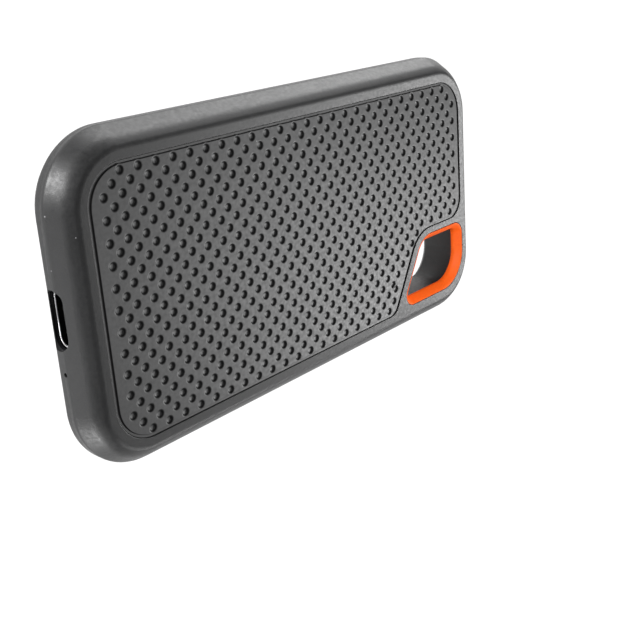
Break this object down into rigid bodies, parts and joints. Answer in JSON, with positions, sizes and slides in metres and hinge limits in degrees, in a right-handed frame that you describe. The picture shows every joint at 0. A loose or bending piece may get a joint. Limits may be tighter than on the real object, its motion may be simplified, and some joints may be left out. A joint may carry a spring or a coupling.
{
  "type": "portable solid state drive",
  "caption": "Slim pocket storage drive with a rounded case, a dotted grip panel, an orange-edged corner loop and a USB-C port in one end.",
  "frame": {"origin": "middle of the flat rear face, on which the drive lies", "axes": "+X along the length from the port end to the loop end, +Y across the width away from the loop, +Z out of the dotted face"},
  "size_m": [0.1006, 0.0518, 0.0094],
  "materials": {
    "case_plastic": "satin moulded plastic with a fine grain",
    "panel_plastic": "satin grained plastic with small round dimples",
    "trim_orange": "satin orange plastic",
    "film": "double-sided adhesive film",
    "seal_rubber": "black elastomer",
    "port_metal": "drawn stainless steel",
    "port_plastic": "black moulded plastic",
    "contact_gold": "gold-plated contacts",
    "light_clear": "clear moulded plastic",
    "board_green": "solder-masked glass laminate",
    "board_black": "black solder-masked glass laminate",
    "chip_black": "moulded chip package",
    "led_white": "light-emitting diode package",
    "part_grey": "ferrite and ceramic parts",
    "part_tan": "ceramic capacitors",
    "can_metal": "plated metal can",
    "pad_grey": "soft thermal pad",
    "spreader_metal": "rolled aluminium sheet",
    "standoff_brass": "turned brass",
    "screw_steel": "plated steel"
  },
  "bodies": {
    "root": {"front_cover": "case_plastic", "rear_cover": "case_plastic", "grip_panel": "panel_plastic", "panel_adhesive": "film", "loop_trim": "trim_orange", "seam_gasket": "seal_rubber", "port_seal": "seal_rubber", "port_shell": "port_metal", "port_tongue": "port_plastic", "port_contacts": "contact_gold", "light_pipe": "light_clear", "bridge_board": "board_green", "status_led": "led_white", "bridge_chip": "chip_black", "power_chip": "chip_black", "crystal": "can_metal", "inductors": "part_grey", "capacitors": "part_tan", "resistors": "chip_black", "module_socket": "port_plastic", "module_board": "board_black", "module_controller": "chip_black", "flash_chips": "chip_black", "module_power_chip": "chip_black", "module_capacitors": "part_tan", "thermal_pads": "pad_grey", "heat_spreader": "spreader_metal", "module_standoff": "standoff_brass", "case_screws": "screw_steel", "board_screws": "screw_steel", "module_screw": "screw_steel"}
  },
  "joints": []
}
